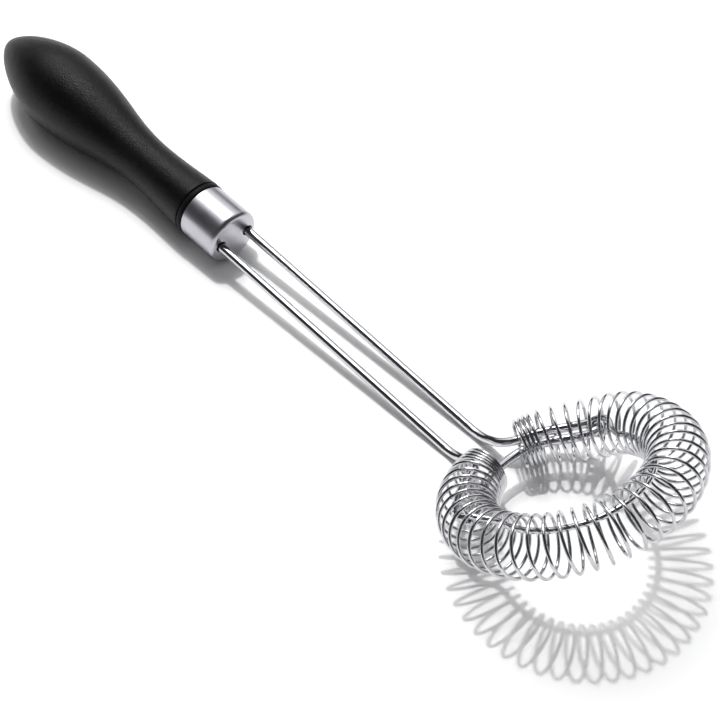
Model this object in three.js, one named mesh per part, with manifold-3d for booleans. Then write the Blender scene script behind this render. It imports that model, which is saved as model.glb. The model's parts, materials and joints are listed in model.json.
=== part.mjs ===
// Gravy whisk: a soft grip over a rigid core, a steel ferrule, one bent frame wire, a thinner ring wire
// hooked to it, and a coil spring threaded over both. Millimetres, +Z up.
// It lies on a table on its bulb and its coil, handle towards -X and head towards +X.

import * as THREE from 'three';
import { mergeVertices } from 'three/addons/utils/BufferGeometryUtils.js';
import Module from 'manifold-3d';

const { degToRad } = THREE.MathUtils;

// Grip: a pear-shaped outline, with places measured back from its front end
const GRIP_LENGTH = 102.6;
const GRIP_WALL = 2.2;
const GRIP_LIP = 0.8;
const FRONT_RADIUS = 9.7;
const FRONT_FLARE = 0.5;
const FRONT_SWEEP = 9;
const WAIST_RADIUS = 8.5;
const WAIST_AT = 24.5;
const WAIST_SWEEP_FRONT = 9;
const WAIST_SWEEP_BACK = 18;
const BULB_RADIUS = 14.2;
const BULB_AT = 72.5;
const BULB_SWEEP_FRONT = 21;
const BULB_SWEEP_BACK = 14;
const BUTT_CROWN = 5.2;

// Core: a collar shows between grip and ferrule, and a spigot carries the ferrule
const COLLAR_RADIUS = 9.2;
const COLLAR_WIDTH = 2;
const SPIGOT_LENGTH = 9;
const SPIGOT_CHAMFER = 0.8;

// Ferrule: a drawn cup with a round edge
const FERRULE_LENGTH = 15.9;
const FERRULE_RADIUS = 9.5;
const FERRULE_WALL = 0.8;
const FERRULE_EDGE = 1.7;

// Frame wire: two legs from the core to the head, spread into hairpins that share one bar
const FRAME_WIRE = 3;
const LEG_SPACING = 11.2;
const LEG_LENGTH = 109.8;
const LEG_DROOP = degToRad(1.6);
const DROOP_DEPTH = 4;
const ANCHOR_DEPTH = 50;
const ANCHOR_SPACING = 6.6;
const HEAD_TILT = degToRad(31.9);
const TILT_BEND = 14;
const HEAD_REACH = 48.1;
const SPREAD_BEND = 8;
const HAIRPIN_WIDTH = 6.9;
const HAIRPIN_ANGLE = degToRad(52);

// Ring wire: a ring on the coil's inner side, with a hook round each hairpin
const RING_WIRE = 2;
const RING_LEAD = degToRad(30);
const HOOK_SWEEP = degToRad(270);

// Coil: an open spring bent into a ring, closed up and drawn in towards its two ends
const COIL_WIRE = 1;
const COIL_RADIUS = 9.1;
const COIL_END_RADIUS = 7.5;
const COIL_RING_RADIUS = 31.6;
const COIL_SAG = 1;
const COIL_TURNS = 49;
const COIL_END_TURNS = 3;
const COIL_END_PITCH = 2;
const COIL_PITCH_SWING = 0.05;
const COIL_TAPER = 28;
const COIL_SLACK = degToRad(4);
const CURL_STEPS = 8;
const CURL_SIDES = 5;

// Clearances
const FIT_GAP = 0.3;
const HOLE_GAP = 0.45;

// Facets
const ROUND_SIDES = 32;
const SKIN_STEPS = 9;
const CAVITY_STEPS = 5;
const EDGE_STEPS = 4;
const FRAME_SIDES = 12;
const RING_SIDES = 10;

const STEEL = { color: 0xc9c9ce, metalness: 1 };
const MATERIALS = {
  grip: { color: 0x1a1a1b, roughness: 0.72, metalness: 0 },
  core: { color: 0x141415, roughness: 0.5, metalness: 0 },
  ferrule: { ...STEEL, roughness: 0.32 },
  wire: { ...STEEL, roughness: 0.14 },
};

// Places along the handle's axis, zero on the ferrule's end face and negative towards the butt
const ferruleBack = -FERRULE_LENGTH;
const collarFront = ferruleBack - FIT_GAP;
const collarBack = collarFront - COLLAR_WIDTH;
const gripFront = collarBack - FIT_GAP;
const gripButt = gripFront - GRIP_LENGTH;
const spigotFront = ferruleBack + SPIGOT_LENGTH;

// Head sizes: angles run round the ring from the gap between the coil's ends
const hairpinBend = HAIRPIN_WIDTH / 2;
const outerLeg = COIL_RING_RADIUS + hairpinBend;
const innerLeg = COIL_RING_RADIUS - hairpinBend;

const endAdvance = COIL_END_PITCH / COIL_RING_RADIUS;

// The coil hangs a little below the wires. The ring wire lies clear of the flats of the coil's curls,
// which pass nearer than their corners.
const ringOffset = COIL_RADIUS * Math.cos(Math.PI / CURL_STEPS) - (RING_WIRE + COIL_WIRE) / 2 - FIT_GAP;
const ringRadius = COIL_RING_RADIUS - Math.sqrt(ringOffset ** 2 - COIL_SAG ** 2);
const hookRadius = FRAME_WIRE / 2 + RING_WIRE / 2 + FIT_GAP;

const wasm = await Module();
wasm.setup();

// Solids for cuts

function toSolid(geometry) {
  const bare = new THREE.BufferGeometry();
  bare.setAttribute('position', geometry.getAttribute('position'));
  bare.setIndex(geometry.getIndex());
  const merged = mergeVertices(bare);
  const index = merged.getIndex().array;
  const triangles = [];
  for (let i = 0; i < index.length; i += 3) {
    const [a, b, c] = index.slice(i, i + 3);
    if (a !== b && b !== c && c !== a) triangles.push(a, b, c);
  }
  const vertProperties = new Float32Array(merged.getAttribute('position').array);
  const triVerts = new Uint32Array(triangles);
  return new wasm.Manifold(new wasm.Mesh({ numProp: 3, vertProperties, triVerts }));
}

function toGeometry(solid) {
  const mesh = solid.getMesh();
  const geometry = new THREE.BufferGeometry();
  geometry.setAttribute('position', new THREE.BufferAttribute(mesh.vertProperties, 3));
  geometry.setIndex(new THREE.BufferAttribute(mesh.triVerts, 1));
  return geometry;
}

function cut(geometry, cutters) {
  const solid = cutters.reduce((rest, cutter) => rest.subtract(toSolid(cutter)), toSolid(geometry));
  return toGeometry(solid);
}

// Round pieces: a profile of (radius, place along the axis), turned about the handle's axis

const spot = (radius, place) => new THREE.Vector2(radius, place);

function edge(centre, radius, from, to) {
  return new THREE.Path().absarc(centre.x, centre.y, radius, from, to, to < from).getPoints(EDGE_STEPS);
}

function turned(profile) {
  const geometry = new THREE.LatheGeometry(profile, ROUND_SIDES);
  return geometry.rotateZ(-Math.PI / 2);
}

// Wires: a route is a row of stretches, each a function of 0 to 1 with its own number of steps

const line = (from, to, steps = 1) => ({ at: (t) => from.clone().lerp(to, t), steps });

const arc = (centre, first, second, from, to, steps) => ({
  at: (t) => {
    const angle = THREE.MathUtils.lerp(from, to, t);
    return centre.clone().addScaledVector(first, Math.cos(angle)).addScaledVector(second, Math.sin(angle));
  },
  steps,
});

const curve = (shape, steps) => ({ at: (t) => shape.getPoint(t), steps });

const reversed = ({ at, steps }) => ({ at: (t) => at(1 - t), steps });

const mirrored = ({ at, steps }) => ({ at: (t) => at(t).multiply(new THREE.Vector3(1, -1, 1)), steps });

class Route extends THREE.Curve {
  constructor(stretches) {
    super();
    this.stretches = stretches;
    this.steps = stretches.reduce((sum, { steps }) => sum + steps, 0);
  }

  getPoint(t) {
    let step = t * this.steps;
    let place = 0;
    while (place < this.stretches.length - 1 && step > this.stretches[place].steps) {
      step -= this.stretches[place].steps;
      place += 1;
    }
    const { at, steps } = this.stretches[place];
    return at(step / steps);
  }

  // Steps stay where the stretches put them, close in the bends and far apart on the straights
  getUtoTmapping(u) {
    return u;
  }
}

function swept(stretches, diameter, sides) {
  const corners = Array.from({ length: sides }, (_, side) => {
    const angle = (2 * Math.PI * side) / sides;
    return new THREE.Vector2(Math.cos(angle), Math.sin(angle)).multiplyScalar(diameter / 2);
  });
  const route = new Route(stretches);
  return new THREE.ExtrudeGeometry(new THREE.Shape(corners), { steps: route.steps, extrudePath: route });
}

// Grip outline from the butt to the front, drawn in by an inset for the cavity and for the core

function gripOutline(inset, front, steps) {
  const bulb = gripFront - BULB_AT;
  const waist = gripFront - WAIST_AT;
  const butt = gripButt + inset;
  const bulbRadius = BULB_RADIUS - inset;
  const waistRadius = WAIST_RADIUS - inset;
  const frontRadius = FRONT_RADIUS - inset;
  const outline = new THREE.Path();
  outline.moveTo(0, butt);
  outline.bezierCurveTo(BUTT_CROWN, butt, bulbRadius, bulb - BULB_SWEEP_BACK, bulbRadius, bulb);
  outline.bezierCurveTo(
    bulbRadius, bulb + BULB_SWEEP_FRONT,
    waistRadius, waist - WAIST_SWEEP_BACK,
    waistRadius, waist,
  );
  outline.bezierCurveTo(
    waistRadius, waist + WAIST_SWEEP_FRONT,
    frontRadius - FRONT_FLARE, front - FRONT_SWEEP,
    frontRadius, front,
  );
  return outline.getPoints(steps);
}

function gripGeometry() {
  const lip = edge(spot(FRONT_RADIUS - GRIP_LIP, gripFront - GRIP_LIP), GRIP_LIP, 0, Math.PI / 2);
  const skin = gripOutline(0, gripFront - GRIP_LIP, SKIN_STEPS);
  const cavity = gripOutline(GRIP_WALL, gripFront, CAVITY_STEPS).reverse();
  return turned([...skin, ...lip.slice(1), ...cavity]);
}

// The legs' way through the handle: spread apart from their anchors, then drooping from inside the ferrule

const droopPoint = new THREE.Vector3(-DROOP_DEPTH, LEG_SPACING / 2, 0);
const anchorPoint = new THREE.Vector3(-ANCHOR_DEPTH, ANCHOR_SPACING / 2, 0);
const droopLine = new THREE.Vector3(1, 0, 0).applyAxisAngle(new THREE.Vector3(0, 1, 0), LEG_DROOP);

function legBores(gap) {
  const back = anchorPoint.clone().sub(droopPoint).setLength(gap).add(anchorPoint);
  const front = droopPoint.clone().addScaledVector(droopLine, 2 * DROOP_DEPTH);
  const leg = [line(back, droopPoint), line(droopPoint, front)];
  const bore = (stretches) => swept(stretches, FRAME_WIRE + 2 * gap, FRAME_SIDES);
  return [bore(leg), bore(leg.map(mirrored))];
}

function coreGeometry() {
  const spigotRadius = FERRULE_RADIUS - FERRULE_WALL - FIT_GAP;
  const body = gripOutline(GRIP_WALL + FIT_GAP, collarBack, CAVITY_STEPS);
  const nose = [
    spot(COLLAR_RADIUS, collarBack),
    spot(COLLAR_RADIUS, collarFront),
    spot(spigotRadius, collarFront),
    spot(spigotRadius, spigotFront - SPIGOT_CHAMFER),
    spot(spigotRadius - SPIGOT_CHAMFER, spigotFront),
    spot(0, spigotFront),
  ];
  return cut(turned([...body, ...nose]), legBores(FIT_GAP));
}

function ferruleGeometry() {
  const centre = spot(FERRULE_RADIUS - FERRULE_EDGE, -FERRULE_EDGE);
  const profile = [
    spot(0, -FERRULE_WALL),
    ...edge(centre, FERRULE_EDGE - FERRULE_WALL, Math.PI / 2, 0),
    spot(FERRULE_RADIUS - FERRULE_WALL, ferruleBack),
    spot(FERRULE_RADIUS, ferruleBack),
    ...edge(centre, FERRULE_EDGE, 0, Math.PI / 2),
    spot(0, 0),
  ];
  return cut(turned(profile), legBores(HOLE_GAP));
}

// Groups: the legs droop from inside the ferrule, and the head tilts up at their far end.
// In the head's own frame +X points away from the handle, and the ring lies in the XY plane.

const wires = new THREE.Group();
wires.position.set(-DROOP_DEPTH, 0, 0);
wires.rotation.y = LEG_DROOP;
wires.updateMatrixWorld(true);

const head = new THREE.Group();
const bendLine = DROOP_DEPTH + LEG_LENGTH;
head.position.set(bendLine + HEAD_REACH * Math.cos(HEAD_TILT), 0, HEAD_REACH * Math.sin(HEAD_TILT));
head.rotation.y = -HEAD_TILT;
head.updateMatrix();
wires.add(head);

const outward = (angle) => new THREE.Vector3(-Math.cos(angle), Math.sin(angle), 0);
const onward = (angle) => new THREE.Vector3(Math.sin(angle), Math.cos(angle), 0);
const up = new THREE.Vector3(0, 0, 1);

const aroundRing = (radius, from, to, steps) => ({
  at: (t) => outward(THREE.MathUtils.lerp(from, to, t)).multiplyScalar(radius),
  steps,
});

// Where each leg turns out of its straight run and meets its arc beside the coil's centre line
const spreadReach = outerLeg + SPREAD_BEND;
const spreadEnd = Math.asin((LEG_SPACING / 2 + SPREAD_BEND) / spreadReach);
const spreadCentre = outward(spreadEnd).multiplyScalar(spreadReach);

// The coil rests with its last turn against the bend of the near leg, and has its slack at the far leg.
// Both wire ends lie under the ring, so the turns cross outside the legs a part of a turn from the ends.
const endReach = COIL_RING_RADIUS + COIL_END_RADIUS;
const legClearance = SPREAD_BEND - FRAME_WIRE / 2 - COIL_WIRE / 2 - FIT_GAP;
const stopCosine = (endReach ** 2 + spreadReach ** 2 - legClearance ** 2) / (2 * endReach * spreadReach);
const stopAngle = spreadEnd - Math.acos(stopCosine);
const coilStart = stopAngle + COIL_SLACK - endAdvance / 4;
const coilSpan = 2 * Math.PI - stopAngle + (3 / 4) * endAdvance - coilStart;

function frameGeometry() {
  const inHead = (stretch) => ({ at: (t) => stretch.at(t).applyMatrix4(head.matrix), steps: stretch.steps });
  const half = LEG_SPACING / 2;
  const anchor = wires.worldToLocal(anchorPoint.clone());
  const droop = new THREE.Vector3(0, half, 0);
  const tangent = TILT_BEND * Math.tan(HEAD_TILT / 2);
  const tiltStart = new THREE.Vector3(bendLine - tangent, half, 0);
  const tiltEnd = new THREE.Vector3(tangent - HEAD_REACH, half, 0);
  const spreadStart = new THREE.Vector3(spreadCentre.x, half, 0);
  const tilt = [
    tiltStart.clone().addScaledVector(up, TILT_BEND),
    new THREE.Vector3(0, 0, -TILT_BEND),
    new THREE.Vector3(TILT_BEND, 0, 0),
  ];
  const spread = [spreadCentre, new THREE.Vector3(SPREAD_BEND, 0, 0), new THREE.Vector3(0, SPREAD_BEND, 0)];
  const pin = [
    outward(HAIRPIN_ANGLE).multiplyScalar(COIL_RING_RADIUS),
    outward(HAIRPIN_ANGLE).multiplyScalar(hairpinBend),
    onward(HAIRPIN_ANGLE).multiplyScalar(hairpinBend),
  ];
  const leg = [
    line(anchor, droop),
    line(droop, tiltStart),
    arc(...tilt, 0, HEAD_TILT, 5),
    inHead(line(tiltEnd, spreadStart)),
    inHead(arc(...spread, -Math.PI / 2, -spreadEnd, 7)),
    inHead(aroundRing(outerLeg, spreadEnd, HAIRPIN_ANGLE, 6)),
    inHead(arc(...pin, 0, Math.PI, 9)),
  ];
  const bar = inHead(aroundRing(innerLeg, HAIRPIN_ANGLE, -HAIRPIN_ANGLE, 16));
  return swept([...leg, bar, ...leg.map(mirrored).map(reversed).reverse()], FRAME_WIRE, FRAME_SIDES);
}

function ringGeometry() {
  const leave = HAIRPIN_ANGLE + RING_LEAD;
  const tip = outward(HAIRPIN_ANGLE).multiplyScalar(COIL_RING_RADIUS)
    .addScaledVector(onward(HAIRPIN_ANGLE), hairpinBend);
  const hookTop = tip.clone().addScaledVector(up, hookRadius);
  const ringEnd = outward(leave).multiplyScalar(ringRadius);
  const reach = hookTop.distanceTo(ringEnd) / 2;
  const lead = new THREE.CubicBezierCurve3(
    ringEnd,
    ringEnd.clone().addScaledVector(onward(leave), -reach),
    hookTop.clone().addScaledVector(onward(HAIRPIN_ANGLE), reach),
    hookTop,
  );
  const hook = arc(
    tip,
    up.clone().multiplyScalar(hookRadius),
    onward(HAIRPIN_ANGLE).multiplyScalar(-hookRadius),
    0, HOOK_SWEEP, 12,
  );
  const end = [curve(lead, 9), hook];
  const ring = aroundRing(ringRadius, leave, 2 * Math.PI - leave, 36);
  return swept([...end.map(reversed).reverse(), ring, ...end.map(mirrored)], RING_WIRE, RING_SIDES);
}

// Coil: each turn advances round the ring by its own pitch, close at the ends and widest at the front.
// The legs hold its two ends up, and the rest sags.

function coilAngles() {
  const openTurns = COIL_TURNS - 2 * COIL_END_TURNS;
  const openAdvance = (coilSpan - 2 * COIL_END_TURNS * endAdvance) / openTurns;
  const angles = [coilStart];
  for (let step = 0; step < COIL_TURNS * CURL_STEPS; step += 1) {
    const turn = (step + 0.5) / CURL_STEPS - COIL_END_TURNS;
    const swing = 1 - COIL_PITCH_SWING * Math.cos((2 * Math.PI * turn) / openTurns);
    const open = turn > 0 && turn < openTurns;
    angles.push(angles[step] + (open ? openAdvance * swing : endAdvance) / CURL_STEPS);
  }
  return angles;
}

function coilStretch() {
  const angles = coilAngles();
  const steps = COIL_TURNS * CURL_STEPS;
  const radiusAt = (angle) => {
    const fromEnd = COIL_RING_RADIUS * Math.min(angle - coilStart, coilStart + coilSpan - angle);
    const taper = Math.min(fromEnd / COIL_TAPER, 1);
    return THREE.MathUtils.lerp(COIL_END_RADIUS, COIL_RADIUS, Math.sin((taper * Math.PI) / 2));
  };
  const sagAt = (angle) => COIL_SAG * (1 - Math.cos(angle / 2) ** 8);
  const at = (t) => {
    const step = Math.min(Math.floor(t * steps), steps - 1);
    const angle = THREE.MathUtils.lerp(angles[step], angles[step + 1], t * steps - step);
    const curl = 2 * Math.PI * COIL_TURNS * t - Math.PI / 2;
    return outward(angle).multiplyScalar(COIL_RING_RADIUS + radiusAt(angle) * Math.cos(curl))
      .addScaledVector(up, radiusAt(angle) * Math.sin(curl) - sagAt(angle));
  };
  return { at, steps };
}

// Least gap between neighbouring turns, measured on points along the flats of the curls
function leastCoilGap({ at, steps }) {
  const perFlat = 4;
  const points = [];
  for (let i = 0; i < steps * perFlat; i += 1) {
    const flat = Math.floor(i / perFlat);
    points.push(at(flat / steps).lerp(at((flat + 1) / steps), (i % perFlat) / perFlat));
  }
  const turn = CURL_STEPS * perFlat;
  let least = Infinity;
  points.forEach((point, i) => {
    for (let j = i + turn / 2; j < Math.min(i + 2 * turn, points.length); j += 1) {
      least = Math.min(least, point.distanceTo(points[j]));
    }
  });
  return least - COIL_WIRE;
}

// Assembly

function piece(name, geometry, material) {
  const mesh = new THREE.Mesh(geometry, new THREE.MeshStandardMaterial(MATERIALS[material]));
  mesh.name = name;
  return mesh;
}

const handle = new THREE.Group();
handle.add(piece('grip', gripGeometry(), 'grip'));
handle.add(piece('handle_core', coreGeometry(), 'core'));
handle.add(piece('ferrule', ferruleGeometry(), 'ferrule'));

const coil = coilStretch();
wires.add(piece('frame_wire', frameGeometry(), 'wire'));
head.add(piece('ring_wire', ringGeometry(), 'wire'));
head.add(piece('coil_spring', swept([coil], COIL_WIRE, CURL_SIDES), 'wire'));

const whisk = new THREE.Group();
whisk.add(handle, wires);

// The whisk's pitch on the table, where the bulb and the coil are equally low
function restPitch() {
  const lowest = (group, pitch) => {
    whisk.rotation.y = pitch;
    whisk.updateMatrixWorld(true);
    return new THREE.Box3().setFromObject(group, true).min.z;
  };
  let level = -HEAD_TILT;
  let steep = HEAD_TILT;
  while (steep - level > 1e-6) {
    const pitch = (level + steep) / 2;
    if (lowest(wires, pitch) > lowest(handle, pitch)) level = pitch;
    else steep = pitch;
  }
  return level;
}

whisk.rotation.y = restPitch();
whisk.updateMatrixWorld(true);
const box = new THREE.Box3().setFromObject(whisk, true);
whisk.position.set(-(box.min.x + box.max.x) / 2, -(box.min.y + box.max.y) / 2, -box.min.z);
whisk.updateMatrixWorld(true);

const size = box.getSize(new THREE.Vector3());
const hinge = head.getWorldPosition(new THREE.Vector3());
const axis = up.clone().transformDirection(head.matrixWorld);
const show = (vector) => vector.toArray().map((value) => value.toFixed(4)).join(', ');
console.log(`Size ${show(size)} mm, pitch ${THREE.MathUtils.radToDeg(whisk.rotation.y).toFixed(3)} deg`);
console.log(`Ring centre ${show(hinge)} mm, ring axis ${show(axis)}`);
console.log(`Least gap of the coil to itself ${leastCoilGap(coil).toFixed(3)} mm`);

export default whisk;
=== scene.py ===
# %% [markdown]
# # Dressing a gravy whisk
#
# This whisk has a soft black grip, a steel ferrule, a bent steel wire frame and a coil spring that is
# bent into a ring. The solids that come with the frame are right in size and place, but they have few
# faces. Polished steel shows every facet, so this lesson makes each piece again with smooth rounds, in
# the same place, and gives it a finish. Lengths are in millimetres in the recipes and become metres
# when a piece is placed.

# %% Load the frame
import json
import math

import bmesh
import bpy
from mathutils import Matrix, Vector


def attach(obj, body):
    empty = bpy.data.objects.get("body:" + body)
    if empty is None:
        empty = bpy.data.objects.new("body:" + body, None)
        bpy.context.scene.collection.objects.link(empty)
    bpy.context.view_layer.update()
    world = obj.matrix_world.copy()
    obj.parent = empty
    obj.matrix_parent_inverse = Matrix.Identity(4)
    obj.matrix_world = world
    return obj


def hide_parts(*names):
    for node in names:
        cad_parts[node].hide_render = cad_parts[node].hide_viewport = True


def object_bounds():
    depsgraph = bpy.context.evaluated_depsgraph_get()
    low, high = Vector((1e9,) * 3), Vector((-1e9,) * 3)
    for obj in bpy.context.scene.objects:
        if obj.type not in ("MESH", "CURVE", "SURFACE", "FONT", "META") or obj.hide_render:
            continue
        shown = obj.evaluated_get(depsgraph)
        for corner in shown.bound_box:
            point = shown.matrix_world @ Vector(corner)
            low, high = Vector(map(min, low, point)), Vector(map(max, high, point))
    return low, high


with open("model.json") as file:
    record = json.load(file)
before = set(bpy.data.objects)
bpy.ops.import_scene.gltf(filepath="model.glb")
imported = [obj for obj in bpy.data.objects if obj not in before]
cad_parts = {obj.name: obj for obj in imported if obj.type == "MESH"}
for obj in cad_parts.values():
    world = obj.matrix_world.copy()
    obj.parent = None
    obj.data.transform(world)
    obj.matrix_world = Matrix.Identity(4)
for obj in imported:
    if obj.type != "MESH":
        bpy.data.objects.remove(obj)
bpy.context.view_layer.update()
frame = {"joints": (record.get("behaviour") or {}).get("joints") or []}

# %% [markdown]
# ## Three places to work in
#
# A whisk is easier to draw piece by piece, each in its own straight frame. The handle is drawn along X
# with zero on the ferrule's end face. The legs droop a little from there, and the head tilts up at their
# far end, so each of these gets a matrix that carries a drawing to its place on the table. The head's
# matrix comes from the hinge in the record, so the coil turns exactly about its own ring.

# %% Places
MM = 0.001
FERRULE_FACE = Vector((-34.3837, 0.0016, 9.8182)) * MM
TABLE_PITCH = math.radians(2.831)
LEG_DROOP = math.radians(1.6)
DROOP_DEPTH = 4.0
HEAD_TILT = math.radians(31.9)

in_mm = Matrix.Scale(MM, 4)
handle_place = Matrix.Translation(FERRULE_FACE) @ Matrix.Rotation(TABLE_PITCH, 4, "Y") @ in_mm
leg_turn = Matrix.Rotation(LEG_DROOP, 4, "Y")
legs_place = handle_place @ Matrix.Translation((-DROOP_DEPTH, 0, 0)) @ leg_turn
creep = frame["joints"][0]
ring_turn = Matrix.Rotation(TABLE_PITCH + LEG_DROOP - HEAD_TILT, 4, "Y")
head_place = Matrix.Translation(creep["pos_m"]) @ ring_turn @ in_mm

# %% [markdown]
# ## Turned pieces
#
# The grip, the core and the ferrule are round, so each is half an outline spun about the handle's axis.
# A lathe in real life does the same. Spin makes loose duplicates where the outline touches the axis, so
# those are merged, and the normals are recalculated because spin may turn a shape inside out.

# %% A helper for turned pieces
TURN_STEPS, MERGE_WITHIN = 128, 1e-4
SHARP_EDGE = math.radians(50)


def finish_mesh(bm, name, place):
    bmesh.ops.transform(bm, matrix=place, verts=bm.verts)
    bmesh.ops.recalc_face_normals(bm, faces=bm.faces)
    mesh = bpy.data.meshes.new(name)
    bm.to_mesh(mesh)
    bm.free()
    mesh.shade_smooth()
    mesh.set_sharp_from_angle(angle=SHARP_EDGE)
    piece = bpy.data.objects.new(name, mesh)
    bpy.context.scene.collection.objects.link(piece)
    return piece


def turned(name, outline):
    bm = bmesh.new()
    spots = [bm.verts.new((along, 0, radius)) for along, radius in outline]
    edges = [bm.edges.new(pair) for pair in zip(spots, spots[1:])]
    bmesh.ops.spin(bm, geom=spots + edges, cent=(0, 0, 0), axis=(1, 0, 0), angle=2 * math.pi,
                   steps=TURN_STEPS, use_merge=True)
    bmesh.ops.remove_doubles(bm, verts=bm.verts, dist=MERGE_WITHIN)
    return finish_mesh(bm, name, handle_place)


def bezier_weights(t):
    return (1 - t) ** 3, 3 * t * (1 - t) ** 2, 3 * t * t * (1 - t), t ** 3


def bezier(start, pull_out, pull_in, end, steps):
    corners = (start, pull_out, pull_in, end)
    points = []
    for i in range(steps + 1):
        weights = bezier_weights(i / steps)
        points.append(tuple(sum(w * c[k] for w, c in zip(weights, corners)) for k in range(2)))
    return points


def quarter(along, radius, bend, first, last, steps=8):
    angles = [math.radians(first + (last - first) * i / steps) for i in range(steps + 1)]
    return [(along + bend * math.cos(a), radius + bend * math.sin(a)) for a in angles]


print("turned pieces get", TURN_STEPS, "steps round")

# %% [markdown]
# ## The grip
#
# The grip is a soft black sleeve shaped like a pear: full near the butt so that it fills the palm, slim
# at the waist where the fingers close, and a little wider again at the front. Three Bezier pieces that
# share their tangents draw it without a kink. The front ends in a rounded lip, and the wall goes back
# inside the whole way, so that the sleeve is hollow and the seam at the collar looks real.

# %% Grip
FERRULE_LENGTH = 15.9
FIT_GAP = 0.3
COLLAR_WIDTH = 2.0
GRIP_LENGTH = 102.6
GRIP_WALL = 2.2
GRIP_LIP = 0.35
BULB_RADIUS, WAIST_RADIUS, MOUTH_RADIUS = 14.2, 8.5, 9.7
BULB_BACK, WAIST_BACK = 72.5, 24.5
BULB_PULLS, WAIST_PULLS = (14, 21), (18, 9)
BUTT_PULL, MOUTH_PULL, MOUTH_FLARE = 5.2, 9, 0.5
SKIN_STEPS, CAVITY_STEPS = 28, 16
collar_front = -FERRULE_LENGTH - FIT_GAP
collar_back = collar_front - COLLAR_WIDTH
grip_front = collar_back - FIT_GAP
grip_butt = grip_front - GRIP_LENGTH
bulb_at = grip_front - BULB_BACK
waist_at = grip_front - WAIST_BACK


def grip_outline(inset, front, steps):
    bulb, waist, mouth = BULB_RADIUS - inset, WAIST_RADIUS - inset, MOUTH_RADIUS - inset
    butt = grip_butt + inset
    back = bezier((butt, 0), (butt, BUTT_PULL),
                  (bulb_at - BULB_PULLS[0], bulb), (bulb_at, bulb), steps)
    middle = bezier((bulb_at, bulb), (bulb_at + BULB_PULLS[1], bulb),
                    (waist_at - WAIST_PULLS[0], waist), (waist_at, waist), steps)
    fore = bezier((waist_at, waist), (waist_at + WAIST_PULLS[1], waist),
                  (front - MOUTH_PULL, mouth - MOUTH_FLARE), (front, mouth), steps)
    return back + middle[1:] + fore[1:]


skin = grip_outline(0, grip_front - GRIP_LIP, SKIN_STEPS)
lip = quarter(grip_front - GRIP_LIP, MOUTH_RADIUS - GRIP_LIP, GRIP_LIP, 90, 0)
cavity = grip_outline(GRIP_WALL, grip_front, CAVITY_STEPS)[::-1]
grip = turned("soft_grip", skin + lip[1:] + cavity)
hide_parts("grip")
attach(grip, "whisk")
print("grip", len(grip.data.polygons), "faces")

# %% [markdown]
# ## The core
#
# Inside the grip is a hard plastic core. Only a narrow collar of it shows, as a black band between grip
# and ferrule, and a spigot in front of the collar carries the ferrule. It is spun whole, because the
# collar is part of one moulding.

# %% Core
FERRULE_RADIUS = 9.5
FERRULE_WALL = 0.8
COLLAR_RADIUS, COLLAR_EDGE = 9.65, 0.2
SPIGOT_REACH, SPIGOT_EDGE = 9, 0.8
collar_rim = COLLAR_RADIUS - COLLAR_EDGE
spigot = FERRULE_RADIUS - FERRULE_WALL - FIT_GAP
spigot_front = -FERRULE_LENGTH + SPIGOT_REACH
core_body = grip_outline(GRIP_WALL + FIT_GAP, collar_back, CAVITY_STEPS)
collar = [(collar_back, collar_rim), (collar_back + COLLAR_EDGE, COLLAR_RADIUS),
          (collar_front - COLLAR_EDGE, COLLAR_RADIUS), (collar_front, collar_rim)]
nose = [(collar_front, spigot), (spigot_front - SPIGOT_EDGE, spigot),
        (spigot_front, spigot - SPIGOT_EDGE), (spigot_front, 0)]
core = turned("hard_core", core_body + collar + nose)
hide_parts("handle_core")
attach(core, "whisk")
print("core", len(core.data.polygons), "faces")

# %% [markdown]
# ## The ferrule
#
# The ferrule is a cup drawn from thin steel, with a rounded edge and a flat end. Two holes in the end let
# the legs out. The cup is spun first. The holes are then cut with two round bars that lie just where the
# legs leave, each a little wider than the wire, so a dark crescent shows round it.

# %% Ferrule cup
FERRULE_EDGE, FERRULE_RIM = 1.7, 0.15
EDGE_STEPS = 14
edge_at = FERRULE_RADIUS - FERRULE_EDGE
inner_edge = quarter(-FERRULE_EDGE, edge_at, FERRULE_EDGE - FERRULE_WALL, 0, 90)
cup_in = [(-FERRULE_WALL, 0)] + inner_edge
cup_mouth = [(-FERRULE_LENGTH, FERRULE_RADIUS - FERRULE_WALL),
             (-FERRULE_LENGTH, FERRULE_RADIUS - FERRULE_RIM),
             (-FERRULE_LENGTH + FERRULE_RIM, FERRULE_RADIUS)]
cup_out = quarter(-FERRULE_EDGE, edge_at, FERRULE_EDGE, 90, 0, EDGE_STEPS) + [(0, 0)]
ferrule = turned("ferrule_cup", cup_in + cup_mouth + cup_out)
print("ferrule before its holes", len(ferrule.data.polygons), "faces")

# %% Ferrule holes
FRAME_WIRE = 3.0
LEG_SPACING = 11.2
HOLE_GAP, HOLE_DEPTH, HOLE_SIDES = 0.45, 6, 48
SHARP_HOLE = math.radians(40)
hole_radius = FRAME_WIRE / 2 + HOLE_GAP
lie_down = Matrix.Rotation(math.pi / 2, 4, "Y")
bars = bmesh.new()
for side in (1, -1):
    hole_at = Matrix.Translation((DROOP_DEPTH, side * LEG_SPACING / 2, 0))
    bmesh.ops.create_cone(bars, cap_ends=True, segments=HOLE_SIDES, radius1=hole_radius,
                          radius2=hole_radius, depth=HOLE_DEPTH, matrix=hole_at @ lie_down)
cutter = finish_mesh(bars, "leg_bars", legs_place)
cut = ferrule.modifiers.new("leg_holes", "BOOLEAN")
cut.operation = "DIFFERENCE"
cut.solver = "EXACT"
cut.object = cutter
evaluated = ferrule.evaluated_get(bpy.context.evaluated_depsgraph_get())
drilled = bpy.data.meshes.new_from_object(evaluated)
ferrule.modifiers.clear()
ferrule.data = drilled
drilled.shade_smooth()
drilled.set_sharp_from_angle(angle=SHARP_HOLE)
bpy.data.objects.remove(cutter)
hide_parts("ferrule")
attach(ferrule, "whisk")
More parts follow.
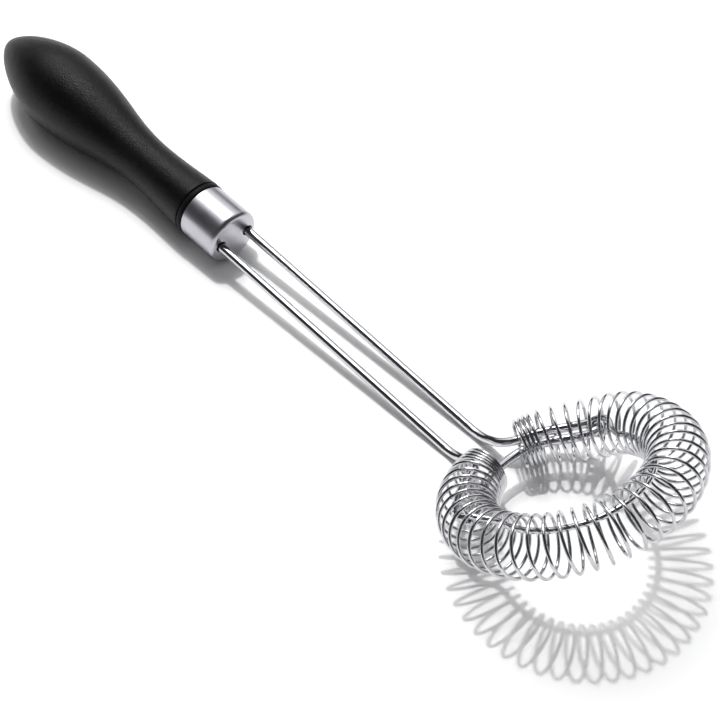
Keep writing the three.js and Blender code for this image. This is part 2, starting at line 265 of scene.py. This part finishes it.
print("ferrule with its holes", len(drilled.polygons), "faces")

# %% [markdown]
# ## Wires
#
# Everything in front of the ferrule is bent wire. A curve with a round bevel is Blender's own wire: the
# points follow the middle of the wire and the bevel gives it its thickness. Bends are arcs with many
# points, so that the highlights run round them without breaks. The finished curve is made a mesh, like
# every other piece.

# %% Helpers for wires
UP = Vector((0, 0, 1))
SHARP_CAP = math.radians(60)


def wire(name, points, diameter, sides):
    line = bpy.data.curves.new(name, "CURVE")
    line.dimensions = "3D"
    line.twist_mode = "MINIMUM"
    line.bevel_depth = diameter / 2 * MM
    line.bevel_resolution = sides // 4 - 1
    line.use_fill_caps = True
    spline = line.splines.new("POLY")
    spline.points.add(len(points) - 1)
    for knot, point in zip(spline.points, points):
        knot.co = (*point, 1)
    drawn = bpy.data.objects.new(name + "_line", line)
    mesh = bpy.data.meshes.new_from_object(drawn)
    mesh.name = name
    bpy.data.objects.remove(drawn)
    mesh.shade_smooth()
    mesh.set_sharp_from_angle(angle=SHARP_CAP)
    piece = bpy.data.objects.new(name, mesh)
    bpy.context.scene.collection.objects.link(piece)
    return piece


def arc(centre, first, second, start, end, steps):
    angles = [start + (end - start) * i / steps for i in range(steps + 1)]
    return [centre + first * math.cos(a) + second * math.sin(a) for a in angles]


def outward(angle):
    return Vector((-math.cos(angle), math.sin(angle), 0))


def onward(angle):
    return Vector((math.sin(angle), math.cos(angle), 0))


def mirrored(points):
    return [Vector((p.x, -p.y, p.z)) for p in points]


print("bends are drawn as arcs of many short steps")

# %% [markdown]
# ## A drooping arm
#
# Bent wire is seldom quite even. On this whisk the far arm of the head hangs about two millimetres lower
# than the near one. A smooth dip round the middle of that arm lowers every wire in it by the same amount,
# so the hairpin, the hook and the turns of the coil keep their distance from each other.

# %% Droop of the far arm
FAR_DIP, DIP_MIDDLE, DIP_SPREAD = 2.2, math.radians(48), math.radians(36)


def drooped(point):
    off = min(abs(math.atan2(point.y, -point.x) - DIP_MIDDLE) / DIP_SPREAD, 1)
    return point - UP * FAR_DIP * (1 + math.cos(math.pi * off)) / 2


print("far arm lowered by", FAR_DIP, "mm")

# %% [markdown]
# ## The frame wire
#
# One thick wire makes both legs and holds the coil's ends. Each leg runs straight from the core, bends up
# at the heel, turns out beside the gap and goes round a hairpin inside the coil. A short bar joins the
# two hairpins across the gap. Half of the wire is drawn and mirrored, and only the far half droops.

# %% Frame wire
LEG_LENGTH = 109.8
TILT_BEND = 14.0
SPREAD_BEND = 8.0
COIL_RING = 31.6
HAIRPIN_BEND = 6.9 / 2
HAIRPIN_ANGLE = math.radians(52)
WIRE_ANCHOR = Vector((-50, 3.3, 0))
LEG_STEPS, HEEL_STEPS, BEND_STEPS, PIN_STEPS = 12, 16, 24, 28
half = LEG_SPACING / 2
outer, inner = COIL_RING + HAIRPIN_BEND, COIL_RING - HAIRPIN_BEND
heel = TILT_BEND * math.tan(HEAD_TILT / 2)
bend_line = DROOP_DEPTH + LEG_LENGTH
spread_reach = outer + SPREAD_BEND
spread_end = math.asin((half + SPREAD_BEND) / spread_reach)
spread_middle = outward(spread_end) * spread_reach

anchor = (legs_place.inverted() @ handle_place) @ WIRE_ANCHOR
heel_start = Vector((bend_line - heel, half, 0))
leg = [anchor, Vector((0, half, 0))]
leg += [leg[1].lerp(heel_start, i / LEG_STEPS) for i in range(1, LEG_STEPS)]
leg += arc(heel_start + UP * TILT_BEND, -UP * TILT_BEND, Vector((TILT_BEND, 0, 0)),
           0, HEAD_TILT, HEEL_STEPS)
turn_out = arc(spread_middle, Vector((SPREAD_BEND, 0, 0)), Vector((0, SPREAD_BEND, 0)),
               -math.pi / 2, -spread_end, BEND_STEPS)
beside = [outward(spread_end + (HAIRPIN_ANGLE - spread_end) * i / BEND_STEPS) * outer
          for i in range(1, BEND_STEPS)]
pin = arc(outward(HAIRPIN_ANGLE) * COIL_RING, outward(HAIRPIN_ANGLE) * HAIRPIN_BEND,
          onward(HAIRPIN_ANGLE) * HAIRPIN_BEND, 0, math.pi, PIN_STEPS)
bar = [outward(HAIRPIN_ANGLE * (1 - i / BEND_STEPS)) * inner for i in range(1, BEND_STEPS)]
bent = turn_out + beside + pin + bar
far_half = [legs_place @ p for p in leg] + [head_place @ drooped(p) for p in bent]
bar_middle = [head_place @ (outward(0) * inner)]
near_half = [legs_place @ p for p in mirrored(leg)] + [head_place @ p for p in mirrored(bent)]
frame_wire = wire("frame_wire_bent", far_half + bar_middle + near_half[::-1], FRAME_WIRE, sides=24)
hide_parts("frame_wire")
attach(frame_wire, "whisk")
print("frame wire", len(frame_wire.data.polygons), "faces")

# %% [markdown]
# ## The ring wire
#
# A thinner wire runs round inside the coil and keeps the ring open. Each of its ends leads over to the
# tip of a hairpin and hooks round it. The lead is a Bezier that leaves the ring along its own direction
# and comes in along the hook, so the wire has no corner there. The solid coil's turns are eight-sided,
# and the ring wire lies clear of their flats.

# %% Ring wire
RING_WIRE = 2.0
COIL_WIRE = 1.0
COIL_RADIUS = 9.1
COIL_SAG = 1.0
SOLID_TURN_SIDES = 8
LEAD_SPAN, HOOK_TURN = math.radians(30), math.radians(270)
LEAD_STEPS, HOOK_STEPS, RING_STEPS = 24, 36, 120
turn_flat = COIL_RADIUS * math.cos(math.pi / SOLID_TURN_SIDES)
ring_offset = turn_flat - (RING_WIRE + COIL_WIRE) / 2 - FIT_GAP
ring_radius = COIL_RING - math.sqrt(ring_offset ** 2 - COIL_SAG ** 2)
hook_bend = (FRAME_WIRE + RING_WIRE) / 2 + FIT_GAP
leave = HAIRPIN_ANGLE + LEAD_SPAN
tip = outward(HAIRPIN_ANGLE) * COIL_RING + onward(HAIRPIN_ANGLE) * HAIRPIN_BEND
hook_top = tip + UP * hook_bend
ring_end = outward(leave) * ring_radius
reach = (hook_top - ring_end).length / 2
pulls = (ring_end, ring_end - onward(leave) * reach,
         hook_top + onward(HAIRPIN_ANGLE) * reach, hook_top)
lead = []
for i in range(LEAD_STEPS + 1):
    weights = bezier_weights(i / LEAD_STEPS)
    lead.append(sum((p * w for p, w in zip(pulls, weights)), Vector()))
hook = arc(tip, UP * hook_bend, onward(HAIRPIN_ANGLE) * -hook_bend, 0, HOOK_TURN, HOOK_STEPS)
ring = [outward(leave + (2 * math.pi - 2 * leave) * i / RING_STEPS) * ring_radius
        for i in range(RING_STEPS + 1)]
route = (lead + hook[1:])[::-1] + ring[1:-1] + mirrored(lead + hook[1:])
ring_line = [head_place @ drooped(p) for p in route]
ring_wire = wire("ring_wire_hooked", ring_line, RING_WIRE, sides=20)
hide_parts("ring_wire")
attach(ring_wire, "whisk")
print("ring wire", len(ring_wire.data.polygons), "faces, ring radius", round(ring_radius, 2), "mm")

# %% [markdown]
# ## The coil
#
# The coil is one long thin wire wound into an open spring, and the spring is bent into a ring. A point on
# it goes round the spring's own circle once a turn while the circle creeps round the ring. The turns
# stand close together and lean a little at the two ends, and the spring is slimmer there. In front it
# sags below the wires that carry it, and its far half is held up for longer than its near half. The wire
# is drawn a tenth thicker than in the solid. It rides on its own body, so it can creep along the wires.

# %% Coil
TURNS, END_TURNS, TURN_POINTS = 49, 4, 56
END_PITCH, END_RADIUS, TAPER = 1.5, 7.6, 19.0
SLACK = math.radians(4)
FAR_LEAN, NEAR_LEAN, LEAN_LENGTH = math.radians(15), math.radians(8), 14.0
FAR_REACH, NEAR_REACH = 1.36, -1.04
FAR_HOLD, NEAR_HOLD = 1.2, 8
THICKER = 1.1
end_advance = END_PITCH / COIL_RING
end_reach = COIL_RING + END_RADIUS
leg_clear = SPREAD_BEND - FRAME_WIRE / 2 - COIL_WIRE / 2 - FIT_GAP
stop = (end_reach ** 2 + spread_reach ** 2 - leg_clear ** 2) / (2 * end_reach * spread_reach)
stop_angle = spread_end - math.acos(stop)
coil_start = stop_angle + SLACK - end_advance / 4 - FAR_REACH / COIL_RING
coil_end = 2 * math.pi - stop_angle + 0.75 * end_advance + NEAR_REACH / COIL_RING
open_turns = TURNS - 2 * END_TURNS
open_advance = (coil_end - coil_start - 2 * END_TURNS * end_advance) / open_turns

angle = coil_start
coil_line = []
for step in range(TURNS * TURN_POINTS + 1):
    from_end = COIL_RING * min(angle - coil_start, coil_end - angle)
    swell = math.sin(min(max(from_end, 0) / TAPER, 1) * math.pi / 2)
    radius = END_RADIUS + (COIL_RADIUS - END_RADIUS) * swell
    curl = 2 * math.pi * step / TURN_POINTS - math.pi / 2
    hold = FAR_HOLD if angle < math.pi else NEAR_HOLD
    sag = COIL_SAG * (1 - abs(math.cos(angle / 2)) ** hold)
    lean = FAR_LEAN * max(0, 1 - COIL_RING * (angle - coil_start) / LEAN_LENGTH)
    lean += NEAR_LEAN * max(0, 1 - COIL_RING * (coil_end - angle) / LEAN_LENGTH)
    centre = outward(angle) * COIL_RING - UP * sag
    sideways = outward(angle + lean) * radius * math.cos(curl)
    coil_line.append(centre + sideways + UP * radius * math.sin(curl))
    turn = (step + 0.5) / TURN_POINTS - END_TURNS
    angle += (open_advance if 0 < turn < open_turns else end_advance) / TURN_POINTS
placed_line = [head_place @ drooped(p) for p in coil_line]
coil = wire("coil_wound", placed_line, THICKER * COIL_WIRE, sides=12)
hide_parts("coil_spring")
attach(coil, "coil")
print("coil", TURNS, "turns,", len(coil.data.polygons), "faces")

# %% [markdown]
# ## Steel
#
# The ferrule and the wires are the same kind of steel with different polish. Drawing and polishing leave
# faint lines and cloudy patches that are seen only as small changes in the gloss. One node group makes
# both from stretched noise. Each material gives it a direction for the lines and its own values.

# %% Helpers for node groups
NOISE_LOW, NOISE_HIGH = 0.3, 0.7


def new_group(name, inputs, outputs):
    group = bpy.data.node_groups.new(name, "ShaderNodeTree")
    for title, kind in inputs:
        group.interface.new_socket(title, in_out="INPUT", socket_type=kind)
    for title, kind in outputs:
        group.interface.new_socket(title, in_out="OUTPUT", socket_type=kind)
    return group, group.nodes.new("NodeGroupInput"), group.nodes.new("NodeGroupOutput")


def noise(group, vector, scale, detail):
    node = group.nodes.new("ShaderNodeTexNoise")
    node.inputs["Scale"].default_value = scale
    node.inputs["Detail"].default_value = detail
    group.links.new(vector, node.inputs["Vector"])
    return node.outputs["Fac"]


def spread_over(group, value, low, high):
    node = group.nodes.new("ShaderNodeMapRange")
    node.inputs["From Min"].default_value = NOISE_LOW
    node.inputs["From Max"].default_value = NOISE_HIGH
    group.links.new(value, node.inputs["Value"])
    for socket, title in ((low, "To Min"), (high, "To Max")):
        if isinstance(socket, float):
            node.inputs[title].default_value = socket
        else:
            group.links.new(socket, node.inputs[title])
    return node.outputs["Result"]


FINISH = [("Color", "NodeSocketColor"), ("Roughness", "NodeSocketFloat"), ("Height", "NodeSocketFloat")]
print("each finish gives", [title for title, kind in FINISH])

# %% Steel finish group
LINE_SCALE, CLOUD_SCALE = 900.0, 90.0
EVEN_SHARE = 0.5
steel_group, steel_in, steel_out = new_group(
    "steel_polish",
    [("Lines", "NodeSocketVector"), ("Clouds", "NodeSocketVector"), ("Smooth", "NodeSocketFloat"),
     ("Rough", "NodeSocketFloat"), ("Bright", "NodeSocketColor"), ("Dull", "NodeSocketColor")],
    FINISH)
lines = noise(steel_group, steel_in.outputs["Lines"], LINE_SCALE, 4.0)
clouds = noise(steel_group, steel_in.outputs["Clouds"], CLOUD_SCALE, 3.0)
gloss = steel_group.nodes.new("ShaderNodeMath")
gloss.operation = "MULTIPLY_ADD"
gloss.inputs[1].default_value = EVEN_SHARE
steel_group.links.new(lines, gloss.inputs[0])
half_clouds = steel_group.nodes.new("ShaderNodeMath")
half_clouds.operation = "MULTIPLY"
half_clouds.inputs[1].default_value = EVEN_SHARE
steel_group.links.new(clouds, half_clouds.inputs[0])
steel_group.links.new(half_clouds.outputs[0], gloss.inputs[2])
roughness = spread_over(steel_group, gloss.outputs[0],
                        steel_in.outputs["Smooth"], steel_in.outputs["Rough"])
tint = steel_group.nodes.new("ShaderNodeMix")
tint.data_type = "RGBA"
steel_group.links.new(spread_over(steel_group, clouds, 0.0, 1.0), tint.inputs["Factor"])
steel_group.links.new(steel_in.outputs["Bright"], tint.inputs["A"])
steel_group.links.new(steel_in.outputs["Dull"], tint.inputs["B"])
steel_group.links.new(tint.outputs["Result"], steel_out.inputs["Color"])
steel_group.links.new(roughness, steel_out.inputs["Roughness"])
steel_group.links.new(lines, steel_out.inputs["Height"])
print("steel group", len(steel_group.nodes), "nodes")

# %% Steel materials
LINE_STRENGTH = 0.1


def new_material(name, group):
    material = bpy.data.materials.new(name)
    material.use_nodes = True
    nodes, links = material.node_tree.nodes, material.node_tree.links
    shader = nodes["Principled BSDF"]
    finish = nodes.new("ShaderNodeGroup")
    finish.node_tree = group
    bump = nodes.new("ShaderNodeBump")
    links.new(finish.outputs["Color"], shader.inputs["Base Color"])
    links.new(finish.outputs["Roughness"], shader.inputs["Roughness"])
    links.new(finish.outputs["Height"], bump.inputs["Height"])
    links.new(bump.outputs["Normal"], shader.inputs["Normal"])
    return material, shader, finish, bump


def object_coords(material, stretch=(1, 1, 1)):
    nodes, links = material.node_tree.nodes, material.node_tree.links
    coords = nodes.new("ShaderNodeTexCoord")
    mapping = nodes.new("ShaderNodeMapping")
    mapping.inputs["Scale"].default_value = stretch
    links.new(coords.outputs["Object"], mapping.inputs["Vector"])
    return mapping.outputs["Vector"]


def steel(name, stretch, smooth, rough, bright, dull, line_depth):
    material, shader, finish, bump = new_material(name, steel_group)
    links = material.node_tree.links
    links.new(object_coords(material, stretch), finish.inputs["Lines"])
    links.new(object_coords(material), finish.inputs["Clouds"])
    finish.inputs["Smooth"].default_value = smooth
    finish.inputs["Rough"].default_value = rough
    finish.inputs["Bright"].default_value = (*bright, 1)
    finish.inputs["Dull"].default_value = (*dull, 1)
    shader.inputs["Metallic"].default_value = 1.0
    bump.inputs["Strength"].default_value = LINE_STRENGTH
    bump.inputs["Distance"].default_value = line_depth * MM
    return material


cup_steel = steel("ferrule_satin", stretch=(1.0, 0.08, 0.08), smooth=0.3, rough=0.37,
                  bright=(0.53, 0.53, 0.565), dull=(0.47, 0.47, 0.505), line_depth=0.001)
leg_steel = steel("drawn_wire", stretch=(0.05, 1.0, 1.0), smooth=0.06, rough=0.14,
                  bright=(0.66, 0.66, 0.68), dull=(0.58, 0.58, 0.6), line_depth=0.005)
turn_steel = steel("spring_wire", stretch=(0.6, 0.6, 0.6), smooth=0.05, rough=0.13,
                   bright=(0.66, 0.66, 0.68), dull=(0.58, 0.58, 0.6), line_depth=0.005)
ferrule.data.materials.append(cup_steel)
frame_wire.data.materials.append(leg_steel)
ring_wire.data.materials.append(leg_steel)
coil.data.materials.append(turn_steel)
print("steel on ferrule, frame wire, ring wire and coil")

# %% [markdown]
# ## Soft black grip
#
# The grip is moulded from black rubber with a fine pebbled grain, which is what makes its highlight soft
# and grey. A cell pattern gives the pebbles and a wide noise gives the slight unevenness of a moulding
# that has been handled. The hard core uses the same group with a shallower grain.

# %% Moulded grain group
CELL_SMOOTHNESS, WEAR_SCALE = 0.6, 70.0
grain_group, grain_in, grain_out = new_group(
    "moulded_grain",
    [("Vector", "NodeSocketVector"), ("Pebbles", "NodeSocketFloat"), ("Smooth", "NodeSocketFloat"),
     ("Rough", "NodeSocketFloat"), ("Dark", "NodeSocketColor"), ("Pale", "NodeSocketColor")],
    FINISH)
cells = grain_group.nodes.new("ShaderNodeTexVoronoi")
cells.feature = "SMOOTH_F1"
cells.inputs["Smoothness"].default_value = CELL_SMOOTHNESS
grain_group.links.new(grain_in.outputs["Vector"], cells.inputs["Vector"])
grain_group.links.new(grain_in.outputs["Pebbles"], cells.inputs["Scale"])
wear = noise(grain_group, grain_in.outputs["Vector"], WEAR_SCALE, 4.0)
shade = grain_group.nodes.new("ShaderNodeMix")
shade.data_type = "RGBA"
grain_group.links.new(spread_over(grain_group, wear, 0.0, 1.0), shade.inputs["Factor"])
grain_group.links.new(grain_in.outputs["Dark"], shade.inputs["A"])
grain_group.links.new(grain_in.outputs["Pale"], shade.inputs["B"])
sheen = spread_over(grain_group, wear, grain_in.outputs["Smooth"], grain_in.outputs["Rough"])
grain_group.links.new(shade.outputs["Result"], grain_out.inputs["Color"])
grain_group.links.new(sheen, grain_out.inputs["Roughness"])
grain_group.links.new(cells.outputs["Distance"], grain_out.inputs["Height"])
print("grain group", len(grain_group.nodes), "nodes")

# %% Grip and core materials
def moulded(name, pebbles, smooth, rough, dark, pale, depth, strength, specular):
    material, shader, finish, bump = new_material(name, grain_group)
    material.node_tree.links.new(object_coords(material), finish.inputs["Vector"])
    finish.inputs["Pebbles"].default_value = pebbles
    finish.inputs["Smooth"].default_value = smooth
    finish.inputs["Rough"].default_value = rough
    finish.inputs["Dark"].default_value = (*dark, 1)
    finish.inputs["Pale"].default_value = (*pale, 1)
    bump.inputs["Strength"].default_value = strength
    bump.inputs["Distance"].default_value = depth * MM
    shader.inputs["Specular IOR Level"].default_value = specular
    return material


rubber = moulded("soft_black_rubber", pebbles=2600.0, smooth=0.32, rough=0.38,
                 dark=(0.0025, 0.0025, 0.0028), pale=(0.004, 0.004, 0.0043),
                 depth=0.13, strength=0.9, specular=0.16)
plastic = moulded("hard_black_plastic", pebbles=2600.0, smooth=0.5, rough=0.6,
                  dark=(0.003, 0.003, 0.0034), pale=(0.005, 0.005, 0.0054),
                  depth=0.05, strength=0.2, specular=0.12)
grip.data.materials.append(rubber)
core.data.materials.append(plastic)
print("rubber on the grip, plastic on the core")

# %% [markdown]
# ## Table, light and camera
#
# The table is a wide white sheet at the height of the lowest point. A broad soft box hangs above and
# behind the whisk, and its reflection makes the white bands on the steel. The room in front stays dim,
# which makes the dark bands beside them. A smaller high box gives the grip its grey streak. The key light
# draws the fine shadows of the turns and the ceiling keeps them pale. Neither shows in the steel, because
# a small strong light would leave a white spark on every turn.

# %% Table
TABLE_REACH = 3.0
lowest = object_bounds()[0][2]
sheet = bmesh.new()
bmesh.ops.create_grid(sheet, x_segments=1, y_segments=1, size=TABLE_REACH,
                      matrix=Matrix.Translation((0, 0, lowest)))
table = finish_mesh(sheet, "table", Matrix.Identity(4))
paper = bpy.data.materials.new("white_paper")
paper.use_nodes = True
paper_shader = paper.node_tree.nodes["Principled BSDF"]
paper_shader.inputs["Base Color"].default_value = (0.9, 0.9, 0.9, 1)
paper_shader.inputs["Roughness"].default_value = 0.9
paper_shader.inputs["Specular IOR Level"].default_value = 0.0
table.data.materials.append(paper)
print("table at", round(lowest / MM, 3), "mm")

# %% Light
AZIMUTH, ELEVATION = math.radians(47.67), math.radians(48.23)
MIDDLE = Vector((0, 0, 0))
behind = Vector((-math.sin(AZIMUTH), math.cos(AZIMUTH), 0))
aside = Vector((math.cos(AZIMUTH), math.sin(AZIMUTH), 0))
soft_box_at = (behind * 0.62 + UP * 0.78) * 1.5
high_box_at = Vector((-0.72, 0.384, 1.376))
ceiling_at = UP * 1.7
key_from = behind * 0.44 - aside * 0.09 + UP


def add_light(name, kind, place, energy, **settings):
    lamp = bpy.data.lights.new(name, kind)
    lamp.energy = energy
    for setting, value in settings.items():
        setattr(lamp, setting, value)
    holder = bpy.data.objects.new(name, lamp)
    holder.location = place
    holder.rotation_euler = (MIDDLE - place).to_track_quat("-Z", "Y").to_euler()
    bpy.context.scene.collection.objects.link(holder)
    return holder


add_light("soft_box", "AREA", soft_box_at, energy=13.0, shape="RECTANGLE", size=2.2, size_y=1.8)
add_light("high_box", "AREA", high_box_at, energy=13.0, shape="RECTANGLE", size=0.6, size_y=0.6)
ceiling = add_light("ceiling", "AREA", ceiling_at, energy=8.0, shape="RECTANGLE", size=3.0, size_y=3.0)
key = add_light("key", "SUN", key_from, energy=1.55, angle=math.radians(2.2))
for holder in (ceiling, key):
    holder.visible_glossy = False
room = bpy.data.worlds.new("dim_room")
room.use_nodes = True
room.node_tree.nodes["Background"].inputs["Color"].default_value = (0.9, 0.93, 1.0, 1)
room.node_tree.nodes["Background"].inputs["Strength"].default_value = 0.05
bpy.context.scene.world = room

# %% Camera
CAMERA_FROM_FERRULE = Vector((435.21, -340.94, 557.6))
lens = bpy.data.cameras.new("camera")
lens.lens = 120
lens.sensor_width = 36
lens.clip_start = 0.01
camera = bpy.data.objects.new("camera", lens)
camera.location = FERRULE_FACE + CAMERA_FROM_FERRULE * MM
camera.rotation_euler = (math.pi / 2 - ELEVATION, 0, AZIMUTH)
bpy.context.scene.collection.objects.link(camera)
bpy.context.scene.camera = camera
bpy.context.scene.view_settings.view_transform = "Standard"
print("camera at", [round(v, 4) for v in camera.location])
